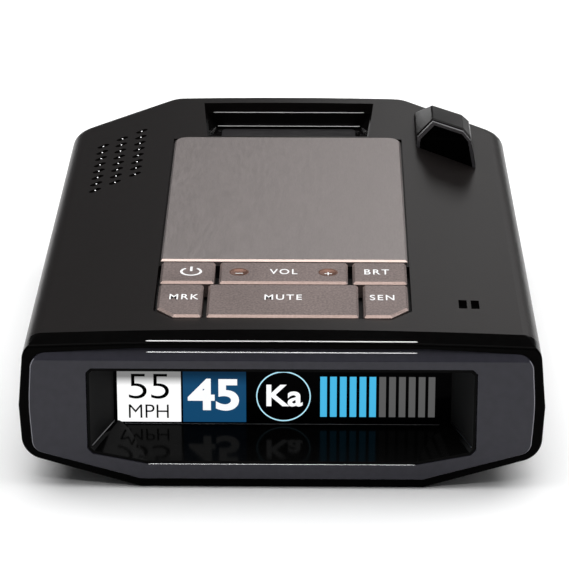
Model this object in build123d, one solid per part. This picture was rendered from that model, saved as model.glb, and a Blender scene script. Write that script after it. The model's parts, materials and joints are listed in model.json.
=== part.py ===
from build123d import *
import math
import os

# Radar detector, in millimetres.
# X points right as the driver sees the display, Y from the display to the windshield, Z up.
# The origin is under the middle of the case, on the surface that it rests on.
# Depths called d are measured back from the front face of the ring around the display end.
# Heights are measured from a datum plane just above the resting face, and moved up at the end.

# ---------------------------------------------------------------- driving dimensions
LENGTH = 120.6              # display face to windshield face
BEZEL_PROUD = 0.7           # the bezel stands this far in front of the ring
REAR_D = LENGTH - BEZEL_PROUD
FRONT_HALF = 42.1           # half width at the parting line, display end
SIDE_TAPER = 0.011          # each side closes in by this much per mm of depth
CORNER_X, CORNER_D = 40.85, 101.35   # where a side meets its rear chamfer
REAR_X = 22.6               # where a rear chamfer meets the windshield face
REST_Z = -0.45              # the resting face, below the datum of the heights
BODY_H = 25.6               # height of the crown of the roof
PART_Z = 13.8               # parting line between the two covers
ROOF_DROP, ROOF_DROP_X = 0.7, 37.0   # the crowned roof is this much lower this far out
SIDE_R, REAR_R = 8.0, 6.0   # plan radii of the side and rear corners
TOP_R, BOTTOM_R = 3.0, 4.0  # edge rounding of the top and bottom covers
TOP_DRAFT, BOTTOM_DRAFT = 5, 3
KEEL_HALF = 22.8            # half width of the flat bottom
BEVEL_SLOPE = math.tan(math.radians(16.7))
TAIL_D = 100.0              # the bottom rises towards the windshield from here

WALL = 2.0
LOW_WALL = 3.0              # side wall of the bottom cover
FLOOR = 1.45                # top of the bottom cover's floor
ROOF_UNDER = 23.6           # underside of the roof along the middle
ROOF_UNDER_SIDE = 23.0      # underside of the roof at the sides
ROOF_UNDER_HALF = 24.5
SEAM = 0.1                  # assembly gap between fitted pieces
SPACE_HALF = 45.0           # cutting shapes reach this far out to each side

RING_DEPTH = 3.9
RING_EDGE_R = 0.4
RING_TOP_FRONT = 25.05      # the ring's top falls to this height at its front face
BEZEL_BACK = 3.2
BEZEL_EDGE_R = 0.3
BEZEL_SLOPE_LOW, BEZEL_SLOPE_HIGH = 22.1, 23.3   # the top of the bezel leans back between these heights
BEZEL_SLOPE_RUN = 0.85
SCREEN_D = 10.8             # front face of the display window
SHROUD_FRONT_D, SHROUD_RIM = -0.55, 0.45   # front edge of the shroud and its thickness there

# the inner funnel of the bezel and the shroud, at the bezel face and at the window
FUNNEL_FRONT = dict(half=31.2, top=20.7, low=3.6)
FUNNEL_BACK = dict(half=27.6, top=18.6, low=5.7)
FUNNEL_CORNER = (9.7, 3.0)  # lower corner cut of the funnel, wide and high, at the front

KEY_TOP = 25.9
KEY_UNDER = 23.15
KEY_GAP = 0.8
KEY_EDGE, PLATE_EDGE = 0.38, 0.3
KEY_INSET = 0.25            # the keys' outer sides stand in from the plate's
WELL_GAP = 0.3
INSERT_FRONT_D, INSERT_HALF = 8.8, 20.65
INSERT_TAPER = -0.0022      # the plate and keys widen slightly towards the windshield
INSERT_CUT_X, INSERT_CUT_D = 17.6, 12.1
ROW_D, KEYS_END_D, PLATE_END_D = 22.5, 32.2, 93.5
REAR_SPLIT, FRONT_SPLIT = 11.05, 12.7
PLATE_UNDER = 24.8
GUIDE_Z0, GUIDE_Z1 = 22.0, 22.6
KEYBOARD_Z0, KEYBOARD_Z1 = 20.2, 21.0
DOME_R, DOME_H, DOME_T = 2.2, 0.8, 0.15
PLUNGER_R = 1.0
ROCKER_X = 7.6              # plungers of the volume rocker
ROCKER_AXIS_Z = 23.3
ROCKER_PIN_R = 0.6
ROCKER_FIT = 0.05
DIMPLE_X, DIMPLE_R, DIMPLE_DEEP = 7.4, 1.7, 0.35

POCKET_NEAR, POCKET_FAR = (15.0, 95.0), (16.2, 113.7)   # half width and depth of the mount pocket
POCKET_FLOOR = 20.6
POCKET_LEDGE = 0.5
STRIKE_T = 0.5

POD_LEFT, POD_RIGHT, POD_TOP = 23.75, 34.3, 31.3 
POD_FRONT_D = 91.6          # depth of the pod's front plane at its left edge
POD_SKEW = 1.005            # the front plane comes this much nearer per mm to the right
POD_WALL = 0.5
POD_GROOVE, POD_LIP_T, POD_LIP_W = 1.0, 0.6, 0.6   # the lip stands this far in front of the hood
POD_HOLLOW = 7.0
POD_CREST, POD_RAMP = 7.8, 7.2   # depth of the hood's flat top, and run of the ramp behind it
POD_FOOT = 15.6             # the pod ends this far behind its front plane
POD_SILL = 25.5

BOARD_Z0, BOARD_Z1 = 6.5, 7.7
GUIDE_XS, SLOT_D = (29.3, 31.3), 15.6    # the two light guides beside the keys
SCREW_X, SCREW_D = 34.5, 22.0
REAR_SCREW_X, REAR_SCREW_D = 24.0, 108.0
SCREW_SEAT_Z = 7.0
JACK_FACE = 40.3


# ---------------------------------------------------------------- helpers
def y(d):
    """Row Y of a depth behind the ring's front face."""
    return d - LENGTH / 2 + BEZEL_PROUD


def box(x0, x1, d0, d1, z0, z1):
    """A block between two X, two depths and two heights."""
    place = Pos((x0 + x1) / 2, y((d0 + d1) / 2), (z0 + z1) / 2)
    return place * Box(x1 - x0, d1 - d0, z1 - z0)


def one(shape):
    """The single solid of a shape."""
    return shape.solid()


def outline_face(points, z):
    """A flat face from (x, depth) corners."""
    return Face(Wire.make_polygon([Vector(x, y(d), z) for x, d in points]))


def prism_z(points, z0, z1):
    """A plate from (x, depth) corners."""
    return Solid.extrude(outline_face(points, z0), Vector(0, 0, z1 - z0))


def section_wire(points, d):
    """A closed outline from (x, z) corners at one depth."""
    return Wire.make_polygon([Vector(x, y(d), z) for x, z in points])


def prism_y(points, d0, d1):
    """A bar from (x, z) corners, running back."""
    return Solid.extrude(Face(section_wire(points, d0)), Vector(0, d1 - d0, 0))


def prism_x(points, x0, x1):
    """A bar from (depth, z) corners, running across."""
    face = Face(Wire.make_polygon([Vector(x0, y(d), z) for d, z in points]))
    return Solid.extrude(face, Vector(x1 - x0, 0, 0))


def loft_y(front, d0, back, d1):
    """A straight-sided loft between two (x, z) outlines."""
    return Solid.make_loft([section_wire(front, d0), section_wire(back, d1)], ruled=True)


def rod_z(x, d, r, z0, z1):
    """An upright cylinder."""
    return Pos(x, y(d), (z0 + z1) / 2) * Cylinder(r, z1 - z0)


def rod_y(x, z, r, d0, d1):
    """A cylinder running back."""
    return Pos(x, y((d0 + d1) / 2), z) * Rot(90, 0, 0) * Cylinder(r, d1 - d0)


def rod_x(d, z, r, x0, x1):
    """A cylinder running across."""
    return Pos((x0 + x1) / 2, y(d), z) * Rot(0, 90, 0) * Cylinder(r, x1 - x0)


def mirrored(points):
    """Right-hand corners from bottom to top, and the same on the left."""
    return points + [(-x, z) for x, z in reversed(points)]


def grown(points, amount):
    """A flat outline with every side moved out by an amount."""
    wire = Wire.make_polygon([Vector(a, b, 0) for a, b in points])
    edges = wire.offset_2d(amount, kind=Kind.INTERSECTION).order_edges()
    return [(e.position_at(0).X, e.position_at(0).Y) for e in edges]


def upright_edges(solid):
    """The edges of a solid that run straight up."""
    return solid.edges().filter_by(Axis.Z)


def top_edges(solid):
    """The edges around the highest flat face of a solid."""
    return solid.faces().sort_by(Axis.Z)[-1].edges()


# ---------------------------------------------------------------- outer form
def plan_points(inset, front):
    """Right half of the plan at the parting line: side, side corner, rear corner."""
    run = math.hypot(CORNER_X - REAR_X, REAR_D - CORNER_D)
    nx, ny = (REAR_D - CORNER_D) / run, (CORNER_X - REAR_X) / run
    reach = (FRONT_HALF - inset - CORNER_X) * nx
    d_side = (CORNER_D * ny - inset - reach) / (ny - SIDE_TAPER * nx)
    d_rear = REAR_D - inset
    x_rear = CORNER_X - (inset + (d_rear - CORNER_D) * ny) / nx
    side = FRONT_HALF - inset
    return [(side - SIDE_TAPER * front, front), (side - SIDE_TAPER * d_side, d_side), (x_rear, d_rear)]


def plan_face(inset, front, side_r, rear_r):
    """The plan of the case at the parting line, with rounded corners."""
    half = plan_points(inset, front)
    face = outline_face(half + [(-x, d) for x, d in reversed(half)], PART_Z)
    side = [v for v in face.vertices() if abs(v.Y - y(half[1][1])) < 0.01]
    face = face.fillet_2d(side_r, side)
    if rear_r == 0:
        return face
    rear = [v for v in face.vertices() if abs(v.Y - y(half[2][1])) < 0.01]
    return face.fillet_2d(rear_r, rear)


def crowned_roof():
    """Everything under the gently crowned roof."""
    half = SPACE_HALF
    edge_z = BODY_H - ROOF_DROP * (half / ROOF_DROP_X) ** 2
    left, right = Vector(-half, y(-10), edge_z), Vector(half, y(-10), edge_z)
    low_left, low_right = Vector(-half, y(-10), 0), Vector(half, y(-10), 0)
    crown = Edge.make_three_point_arc(left, Vector(0, y(-10), BODY_H), right)
    sides = [
        Edge.make_line(right, low_right),
        Edge.make_line(low_right, low_left),
        Edge.make_line(low_left, left),
    ]
    return Solid.extrude(Face(Wire([crown] + sides)), Vector(0, LENGTH + 20, 0))


def tilted_roof():
    """The crowned roof, tilted down to the ring's front about the line behind the ring."""
    angle = math.degrees(math.atan2(BODY_H - RING_TOP_FRONT, RING_DEPTH))
    hinge = Pos(0, y(RING_DEPTH), BODY_H)
    return hinge * Rot(angle, 0, 0) * Pos(0, -y(RING_DEPTH), -BODY_H) * crowned_roof()


def upper_form():
    """The case above the parting line, solid."""
    block = extrude(plan_face(0, -6, SIDE_R, REAR_R), amount=BODY_H - PART_Z + 1, taper=TOP_DRAFT)
    block = one(block & crowned_roof())
    edges = [
        e for e in block.edges()
        if e.center().Z > ROOF_UNDER and e.center().Y > y(0.5)
        and (abs(e.center().X) > 30 or e.center().Y > y(CORNER_D))
    ]
    block = block.fillet(TOP_R, edges)
    ahead = box(-50, 50, -20, RING_DEPTH, PART_Z + 1, 40)
    return one(block - (ahead - tilted_roof()))


def keel_bar(z):
    """Everything above a flat keel at a height and the bevels beside it."""
    rise = (SPACE_HALF - KEEL_HALF) * BEVEL_SLOPE
    outline = mirrored([(KEEL_HALF, z), (SPACE_HALF, z + rise), (SPACE_HALF, 30)])
    return prism_y(outline, -10, LENGTH + 10)


def tail_bar(z):
    """Everything above a floor at a height that rises towards the windshield."""
    run = 30
    end = TAIL_D + run
    return prism_x([(-10, z), (TAIL_D, z), (end, z + run * BEVEL_SLOPE), (end, 30), (-10, 30)], -50, 50)


def lower_form():
    """The case below the parting line, solid."""
    deep = PART_Z - REST_Z
    block = extrude(plan_face(0, -6, SIDE_R, 0), amount=-deep, taper=BOTTOM_DRAFT)
    block = one(block & keel_bar(REST_Z))
    edges = [
        e for e in block.edges()
        if 1 < e.center().Z < 9 and abs(e.center().X) > KEEL_HALF + 5 and e.center().Y > y(0.5)
    ]
    block = block.fillet(BOTTOM_R, edges)
    corners = extrude(plan_face(0, -6, SIDE_R, REAR_R), amount=-deep, taper=BOTTOM_DRAFT)
    return one(one(block & corners) & tail_bar(REST_Z))


def bezel_face(gap, d):
    """The front bezel's outline as a face at a depth, grown by a gap, with rounded corners."""
    keel, low, knuckle, high = (24.5, 1.8), (39.95, 6.2), (40.45, 14.2), (39.9, 23.0)
    points = grown(mirrored([(KEEL_HALF, 1.27), keel, low, knuckle, high, (23.0, 23.85)]), gap)
    face = Face(section_wire(points, d))
    for z, r in ((low[1], 2.2), (knuckle[1], 40.0), (high[1], 2.6)):
        corners = [v for v in face.vertices() if abs(v.Z - z) < 0.35 and abs(v.X) > high[0] - 0.5]
        face = face.fillet_2d(r + gap, corners)
    return face


def funnel_outline(d):
    """The display opening's inner outline at a depth."""
    t = (d + BEZEL_PROUD) / (SCREEN_D + BEZEL_PROUD)
    half, top, low = (
        FUNNEL_FRONT[k] + t * (FUNNEL_BACK[k] - FUNNEL_FRONT[k]) for k in ("half", "top", "low")
    )
    wide, high = FUNNEL_CORNER[0] * (1 - 0.8 * t), FUNNEL_CORNER[1] * (1 - 0.8 * t)
    notch = 0.8
    return mirrored([
        (half - wide, low + 0.3 * (1 - t)), (half - notch, low + high - 0.9 * (1 - t)),
        (half, low + high), (half, top - notch), (half - notch, top),
    ])


# ---------------------------------------------------------------- insert area outlines
def insert_half(d):
    """Half width of the keys and the top plate at a depth."""
    return INSERT_HALF - INSERT_TAPER * (d - INSERT_FRONT_D)


def key_half(d):
    """Half width of the keys at a depth."""
    return insert_half(d) - KEY_INSET


def insert_outline(d0, d1):
    """The part of the keys-and-plate outline between two depths, (x, depth)."""
    right = [(insert_half(d0), d0), (insert_half(d1), d1)]
    if d0 < INSERT_CUT_D:
        right = [(INSERT_CUT_X, d0), (insert_half(INSERT_CUT_D), INSERT_CUT_D)] + right[1:]
    return right + [(-x, d) for x, d in reversed(right)]


def key_outlines():
    """Each key's plan, (x, depth) corners."""
    g = KEY_GAP / 2
    rear0, rear1 = ROW_D + g, KEYS_END_D - g
    front1 = ROW_D - g
    power = [
        (-key_half(rear0), rear0), (-REAR_SPLIT - g, rear0),
        (-REAR_SPLIT - g, rear1), (-key_half(rear1), rear1),
    ]
    volume = [
        (-REAR_SPLIT + g, rear0), (REAR_SPLIT - g, rear0),
        (REAR_SPLIT - g, rear1), (-REAR_SPLIT + g, rear1),
    ]
    mute = [
        (-FRONT_SPLIT + g, INSERT_FRONT_D), (FRONT_SPLIT - g, INSERT_FRONT_D),
        (FRONT_SPLIT - g, front1), (-FRONT_SPLIT + g, front1),
    ]
    sensitivity = [
        (FRONT_SPLIT + g, INSERT_FRONT_D), (INSERT_CUT_X, INSERT_FRONT_D),
        (key_half(INSERT_CUT_D), INSERT_CUT_D), (key_half(front1), front1), (FRONT_SPLIT + g, front1),
    ]
    return {
        "power": power,
        "volume": volume,
        "brightness": [(-x, d) for x, d in reversed(power)],
        "mark": [(-x, d) for x, d in reversed(sensitivity)],
        "mute": mute,
        "sensitivity": sensitivity,
    }


def key_middle(points):
    """The middle of a key's plan."""
    xs, ds = [x for x, d in points], [d for x, d in points]
    return (min(xs) + max(xs)) / 2, (min(ds) + max(ds)) / 2


def pocket_outline(shift, near=POCKET_NEAR, far=POCKET_FAR):
    """The mount pocket's plan, with every side moved out by a shift."""
    return [
        (-near[0] - shift, near[1] - shift), (near[0] + shift, near[1] - shift),
        (far[0] + shift, far[1] + shift), (-far[0] - shift, far[1] + shift),
    ]


# ---------------------------------------------------------------- rear sensor pod
def pod_section(inset, low):
    """The pod's cross-section, (x, z)."""
    left, right = POD_LEFT, POD_RIGHT
    outline = [
        (left, 20.0), (right, 20.0), (right, 25.2), (right - 0.9, 30.0), (right - 2.3, POD_TOP),
        (left + 2.85, POD_TOP), (left + 0.15, 27.3), (left, 25.2),
    ]
    if inset:
        outline = grown(outline, -inset)
    section = prism_y(outline, 70, 130)
    return section & box(left - 5, right + 5, 70, 130, low, 40)


def pod_slab(s0, s1):
    """The space between two planes parallel to the pod's front, s deeper than it."""
    x0, x1 = POD_LEFT - 10, POD_RIGHT + 10
    d0, d1 = (POD_FRONT_D - POD_SKEW * (x - POD_LEFT) for x in (x0, x1))
    return prism_z([(x0, d0 + s0), (x1, d1 + s0), (x1, d1 + s1), (x0, d0 + s1)], 0, 50)


def pod_outer():
    """The pod's outer form, with its ramp down to the windshield side."""
    body = one(pod_section(0, ROOF_UNDER_SIDE) & pod_slab(0, POD_FOOT))
    low_z = 25.2
    rise = POD_TOP - low_z
    x0, x1 = POD_LEFT - 10, POD_RIGHT + 10
    z_low, z_high = low_z - 2 * rise, POD_TOP + rise
    s_low = POD_CREST + POD_RAMP * (POD_TOP - z_low) / rise
    s_high = POD_CREST + POD_RAMP * (POD_TOP - z_high) / rise
    profile = [(s_high, z_high), (s_low, z_low), (s_low + 40, z_low), (s_low + 40, z_high)]
    front = POD_FRONT_D + POD_SKEW * 10
    face = Face(Wire.make_polygon([Vector(x0, y(front + s), z) for s, z in profile]))
    ramp = Solid.extrude(face, Vector(x1 - x0, -POD_SKEW * (x1 - x0), 0))
    body = one(body - ramp)
    crest = [e for e in body.edges() if e.center().Z > 28.0]
    return body.fillet(0.45, crest)


def pod_inside(inset, s0, s1):
    """A plug that fills the hood's section, less an inset, between two depths inside the hood."""
    return pod_section(inset, POD_SILL + SEAM / 2) & pod_slab(s0, s1)


def pod_ahead(inset, s0, s1):
    """The same in front of the hood, down to the roof."""
    ahead = pod_section(inset, ROOF_UNDER) & pod_slab(s0, s1)
    return one(ahead - Pos(0, 0, SEAM / 2) * crowned_roof())


def pod_hollow():
    """The space inside the hood, open at its front."""
    return one(pod_section(POD_WALL, POD_SILL) & pod_slab(-5, POD_HOLLOW))


def pod_lip():
    """The frame around the pod's window, in front of the hood with a groove between them."""
    frame = pod_ahead(SEAM / 2, -POD_GROOVE - POD_LIP_T, -POD_GROOVE)
    return one(frame - (pod_section(POD_LIP_W, 20) & pod_slab(-5, 5)))


def pod_window():
    """The pod's dark window: a plug in the hood that fills the lip."""
    inset = POD_LIP_W + SEAM / 2
    ahead = pod_ahead(inset, -POD_GROOVE - 0.8 * POD_LIP_T, -SEAM / 2)
    return one(pod_inside(inset, -2 * SEAM, 4.0) + ahead)


def pod_sensor():
    """The pod's board with its light sensor."""
    return one(pod_inside(1.6, 5.6, 6.8) + (pod_section(3.4, 27.0) & pod_slab(4.8, 5.7)))


# ---------------------------------------------------------------- covers
def speaker_slots():
    """Cutters for three slanted columns of short slots."""
    columns = ((-34.1, 67.6), (-30.8, 71.4), (-27.4, 75.3))
    pitch, rows, long, wide = 3.28, 8, 2.9, 0.95
    angle = 52
    cutters = []
    for x, d_first in columns:
        for row in range(rows):
            place = Pos(x, y(d_first + row * pitch), ROOF_UNDER_SIDE - 1) * Rot(0, 0, angle)
            cutters.append(place * extrude(SlotOverall(long, wide), amount=4))
    return cutters


def sensor_slots(gap, z0, z1):
    """Two upright light guides' outlines, grown by a gap."""
    wide, long, corner_r = 1.25 + 2 * gap, 3.4 + 2 * gap, 0.12
    return [
        Pos(x, y(SLOT_D), z0) * extrude(RectangleRounded(wide, long, corner_r), amount=z1 - z0)
        for x in GUIDE_XS
    ]


def port_cuts():
    """Openings in the left wall for the power jack, USB port and headphone jack."""
    return [
        box(-50, -34, 54.5, 65.5, BOARD_Z1 - 0.1, 17.9),
        box(-50, -34, 41.9, 50.1, BOARD_Z1 - 0.1, 11.1),
        rod_x(33, 11.2, 3.6, -50, -34),
    ]


def window_block(gap):
    """The windshield-side window's block."""
    return box(-20.5 - gap, 20.5 + gap, REAR_D - 2.1, REAR_D + 5, 6.2 - gap, 17.0 + gap)


def boss_places():
    """Where the four case screws stand."""
    return [
        (-SCREW_X, SCREW_D), (SCREW_X, SCREW_D),
        (-REAR_SCREW_X, REAR_SCREW_D), (REAR_SCREW_X, REAR_SCREW_D),
    ]


def top_cover(upper):
    """The upper shell: key well, plate seat, mount pocket, slots, pod seat, bosses."""
    shell = upper & box(-50, 50, RING_DEPTH, LENGTH, PART_Z, 40)
    cavity = extrude(plan_face(WALL, -6, SIDE_R - WALL, REAR_R - WALL),
                     amount=ROOF_UNDER_SIDE - PART_Z, taper=TOP_DRAFT)
    shell -= cavity
    shell -= box(-ROOF_UNDER_HALF, ROOF_UNDER_HALF, 0, 116.2, PART_Z, ROOF_UNDER)
    well = grown(insert_outline(INSERT_FRONT_D, KEYS_END_D), WELL_GAP)
    shell -= prism_z(well, PART_Z, 40)
    seat = grown(insert_outline(KEYS_END_D - 1, PLATE_END_D), WELL_GAP)
    shell -= prism_z(seat, PLATE_UNDER, 40)
    shell -= prism_z(pocket_outline(0), PART_Z, 40)
    for x, d in boss_places():
        shell += rod_z(x, d, 3.0, PART_Z, ROOF_UNDER_SIDE + 0.5)
        shell -= rod_z(x, d, 1.25, PART_Z - 1, 20.5)
    for cutter in speaker_slots() + sensor_slots(0.05, ROOF_UNDER_SIDE - 1, 30) + port_cuts():
        shell -= cutter
    shell -= window_block(SEAM)
    shell -= pod_section(0, ROOF_UNDER_SIDE - 1) & pod_slab(0, POD_FOOT)
    return shell


def bottom_cover(lower):
    """The lower shell: flat keel, screw posts, board posts, port and window openings."""
    solid = lower & box(-50, 50, RING_DEPTH, LENGTH, REST_Z - 1, PART_Z)
    cavity = extrude(plan_face(LOW_WALL, -6, SIDE_R - LOW_WALL, REAR_R - LOW_WALL),
                     amount=-PART_Z, taper=BOTTOM_DRAFT)
    shell = solid - (cavity & keel_bar(FLOOR) & tail_bar(FLOOR))
    for x, d in boss_places():
        shell += rod_z(x, d, 4.0, REST_Z, PART_Z) & solid
        shell -= rod_z(x, d, 1.45, SCREW_SEAT_Z - 1, PART_Z + 1)
        shell -= rod_z(x, d, 2.6, REST_Z - 1, SCREW_SEAT_Z)
    for x, d in board_posts():
        shell += rod_z(x, d, 2.2, REST_Z, BOARD_Z0) & solid
        shell -= rod_z(x, d, 0.9, BOARD_Z0 - 3, BOARD_Z0 + 1)
    for cutter in port_cuts():
        shell -= cutter
    shell -= window_block(SEAM)
    shell -= box(-17, 17, 40, 72, REST_Z - 1, REST_Z + 0.3)
    return shell


def board_posts():
    """Where the main board is screwed down."""
    return [(x, d) for x in (-26.0, 26.0) for d in (20.5, 54.0)]


def front_ring(upper, lower):
    """The gloss ring around the display end."""
    ring = (upper + lower) & box(-50, 50, 0, RING_DEPTH, REST_Z - 1, 40)
    bezel_hole = Solid.extrude(bezel_face(SEAM, -5), Vector(0, 15, 0))
    ring = one(ring - bezel_hole)
    front = [e for e in ring.edges() if abs(e.center().Y - y(0)) < 0.01]
    rim = [e for e in front if abs(e.center().X) > 40.75 or not 0.6 < e.center().Z < 24.1]
    return ring.fillet(RING_EDGE_R, rim)


# ---------------------------------------------------------------- display end
def front_bezel():
    """The bezel with its funnel-shaped display opening."""
    block = Solid.extrude(bezel_face(0, -BEZEL_PROUD), Vector(0, BEZEL_BACK + BEZEL_PROUD, 0))
    reach = BEZEL_SLOPE_RUN - BEZEL_PROUD
    rise = (BEZEL_SLOPE_HIGH - BEZEL_SLOPE_LOW) / BEZEL_SLOPE_RUN
    low, high = BEZEL_SLOPE_LOW - (5 - BEZEL_PROUD) * rise, BEZEL_SLOPE_HIGH + 2 * rise
    lean = prism_x([(-5, low), (reach + 2, high), (reach + 2, 30), (-5, 30)], -50, 50)
    block = one(block - lean)
    front_edges = [e for e in block.edges() if abs(e.center().Y - y(-BEZEL_PROUD)) < 0.01]
    block = block.fillet(BEZEL_EDGE_R, front_edges)
    d0, d1 = -BEZEL_PROUD - 1, BEZEL_BACK + 1
    return one(block - loft_y(funnel_outline(d0), d0, funnel_outline(d1), d1))


def display_shroud():
    """The black funnel in the bezel's opening, back to the window."""
    wall, flange_w = 0.9, 2.2
    d0, d1, d2 = SHROUD_FRONT_D, BEZEL_BACK, SCREEN_D
    front, back = (grown(funnel_outline(d), -SEAM) for d in (d0, d1 + SEAM))
    lining = loft_y(front, d0, back, d1 + SEAM)
    outer = loft_y(grown(funnel_outline(d1), wall), d1, grown(funnel_outline(d2), wall), d2)
    flange = prism_y(grown(funnel_outline(d1), flange_w), d1, RING_DEPTH)
    rim = grown(funnel_outline(d0 - 1), -SEAM - SHROUD_RIM)
    inner = loft_y(rim, d0 - 1, funnel_outline(d2 + 1), d2 + 1)
    return one(lining + outer + flange - inner)


def display_cable():
    """The flat cable from the display board down to the main board."""
    t = 0.2
    d0, d1, z_low, z_high = 15.2, 22.0, BOARD_Z1, 12.0
    bend = 1.3
    profile = [
        (d0, z_high), (d0, z_high - 3), (d0 + bend, z_low + bend), (d0 + 2 * bend, z_low), (d1, z_low),
        (d1, z_low + t), (d0 + 2 * bend + t / 2, z_low + t), (d0 + bend + t, z_low + bend + t / 2),
        (d0 + t, z_high - 3 + t / 4), (d0 + t, z_high),
    ]
    return prism_x(profile, -8, 8)


# ---------------------------------------------------------------- keys
def key_cap(points):
    """A key's cap, with rounded corners and a bevelled top."""
    face = outline_face(points, KEY_UNDER)
    face = face.fillet_2d(0.45, face.vertices())
    cap = Solid.extrude(face, Vector(0, 0, KEY_TOP - KEY_UNDER))
    return cap.chamfer(KEY_EDGE, None, top_edges(cap))


def leg_places(points):
    """The guide legs of a push key, each with the side that its hook points to."""
    x, d = key_middle(points)
    reach = (max(p[0] for p in points) - min(p[0] for p in points)) / 2 - 1.2
    return [(x - reach, d, 1), (x + reach, d, -1)]


def push_key(points):
    """A push key: cap, plunger and two hooked legs."""
    x, d = key_middle(points)
    key = key_cap(points) + rod_z(x, d, PLUNGER_R, KEYBOARD_Z1 + DOME_H, KEY_UNDER + 0.2)
    for leg_x, leg_d, side in leg_places(points):
        key += box(leg_x - 0.6, leg_x + 0.6, leg_d - 0.9, leg_d + 0.9, 21.55, KEY_UNDER + 0.2)
        hook = leg_x + side * 0.8
        key += box(hook - 0.3, hook + 0.3, leg_d - 0.9, leg_d + 0.9, 21.55, 21.95)
    return one(key)


def volume_key(points):
    """The rocker: cap with two dimples, a bored rib and a plunger at each end."""
    d = key_middle(points)[1]
    ball = (DIMPLE_R ** 2 + DIMPLE_DEEP ** 2) / (2 * DIMPLE_DEEP)
    key = key_cap(points)
    for ear in (-1, 1):
        ear_d = d + ear * 3.25
        key -= box(-2.1, 2.1, ear_d - 0.75, ear_d + 0.75, 20, 24.5)
    key += box(-1.5, 1.5, d - 2.3, d + 2.3, GUIDE_Z1 + 0.12, KEY_UNDER + 0.1)
    key -= rod_y(0, ROCKER_AXIS_Z, ROCKER_PIN_R + ROCKER_FIT, d - 4.2, d + 4.2)
    for side in (-1, 1):
        key += rod_z(side * ROCKER_X, d, PLUNGER_R, KEYBOARD_Z1 + DOME_H, KEY_UNDER + 0.2)
        key -= Pos(side * DIMPLE_X, y(d), KEY_TOP - DIMPLE_DEEP + ball) * Sphere(ball)
    return one(key)


def key_guide(keys):
    """The frame under the keys: a plate with openings, a rim, the rocker's ears and board posts."""
    outer = [(-23.6, 6.2), (23.6, 6.2), (23.6, 33.6), (-23.6, 33.6)]
    well = grown(insert_outline(INSERT_FRONT_D, KEYS_END_D), WELL_GAP + 0.1)
    guide = prism_z(outer, GUIDE_Z0, ROOF_UNDER) - prism_z(well, GUIDE_Z1, 30)
    for name, points in keys.items():
        x, d = key_middle(points)
        if name == "volume":
            for side in (-1, 1):
                guide -= rod_z(side * ROCKER_X, d, PLUNGER_R + 0.35, 20, 23)
            continue
        guide -= rod_z(x, d, PLUNGER_R + 0.15, 20, 23)
        for leg_x, leg_d, side in leg_places(points):
            guide -= box(leg_x - 0.75, leg_x + 0.75, leg_d - 1.05, leg_d + 1.05, 20, 23)
    d = key_middle(keys["volume"])[1]
    for ear in (-1, 1):
        ear_d = d + ear * 3.25
        guide += box(-1.6, 1.6, ear_d - 0.5, ear_d + 0.5, GUIDE_Z1 - 0.2, 24.1)
    guide -= rod_y(0, ROCKER_AXIS_Z, ROCKER_PIN_R + 0.01, d - 3.75, d + 3.75)
    for x in (-21.0, 21.0):
        for post_d in (9.4, 31.2):
            guide += rod_z(x, post_d, 0.6, KEYBOARD_Z1, GUIDE_Z0 + 0.2)
    return one(guide)


def dome(x, d):
    """A domed spring disc on the key board."""
    ball = (DOME_R ** 2 + DOME_H ** 2) / (2 * DOME_H)
    centre = Pos(x, y(d), KEYBOARD_Z1 + DOME_H - ball)
    shell = centre * Sphere(ball) - centre * Sphere(ball - DOME_T)
    return one(shell & box(x - 4, x + 4, d - 4, d + 4, KEYBOARD_Z1, KEYBOARD_Z1 + 5))


def top_plate():
    """The brushed insert plate behind the keys."""
    face = outline_face(insert_outline(KEYS_END_D + KEY_GAP / 2, PLATE_END_D), PLATE_UNDER)
    rear = [v for v in face.vertices() if v.Y > y(PLATE_END_D - 1)]
    front = [v for v in face.vertices() if v.Y < y(KEYS_END_D + 1)]
    face = face.fillet_2d(2.4, rear).fillet_2d(0.45, front)
    plate = Solid.extrude(face, Vector(0, 0, KEY_TOP - PLATE_UNDER))
    return plate.chamfer(PLATE_EDGE, None, top_edges(plate))


# ---------------------------------------------------------------- windshield mount pocket
def mount_cradle():
    """The tub that the windshield mount's foot drops into."""
    ledge = -POCKET_LEDGE
    rim_top = pocket_outline(ledge)
    tub_floor = pocket_outline(0, near=(13.3, 96.2), far=(13.6, 113.0))
    flange = prism_z(pocket_outline(2.1), ROOF_UNDER - 1.0, ROOF_UNDER)
    wall = 1.2
    low = Wire.make_polygon([Vector(x, y(d), POCKET_FLOOR - wall) for x, d in grown(tub_floor, wall)])
    high = Wire.make_polygon([Vector(x, y(d), ROOF_UNDER) for x, d in grown(rim_top, wall)])
    tub = Solid.make_loft([low, high], ruled=True)
    floor = Wire.make_polygon([Vector(x, y(d), POCKET_FLOOR) for x, d in tub_floor])
    mouth = Wire.make_polygon([Vector(x, y(d), ROOF_UNDER) for x, d in rim_top])
    hollow = Solid.make_loft([floor, mouth], ruled=True)
    return one(flange + tub - hollow)


def strike_plate():
    """The steel strip on the pocket's floor."""
    face = outline_face([(-12.8, 97.0), (12.8, 97.0), (12.8, 111.4), (-12.8, 111.4)], POCKET_FLOOR)
    face = face.fillet_2d(1.0, face.vertices())
    plate = Solid.extrude(face, Vector(0, 0, STRIKE_T))
    return plate.chamfer(0.15, None, top_edges(plate))


# ---------------------------------------------------------------- radio and laser
def horn_antenna():
    """The flared horn that looks out of the windshield-side window."""
    x, z, wall = 5.0, 11.4, 0.8
    throat, mouth = (7.0, 3.6), (13.5, 5.6)

    def rectangle(half, inset):
        hx, hz = half[0] - inset, half[1] - inset
        return [(x - hx, z - hz), (x + hx, z - hz), (x + hx, z + hz), (x - hx, z + hz)]

    outer = loft_y(rectangle(throat, 0), 76, rectangle(mouth, 0), 114)
    inner = loft_y(rectangle(throat, wall), 77, rectangle(mouth, wall), 114.01)
    return one(outer - inner)


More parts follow.
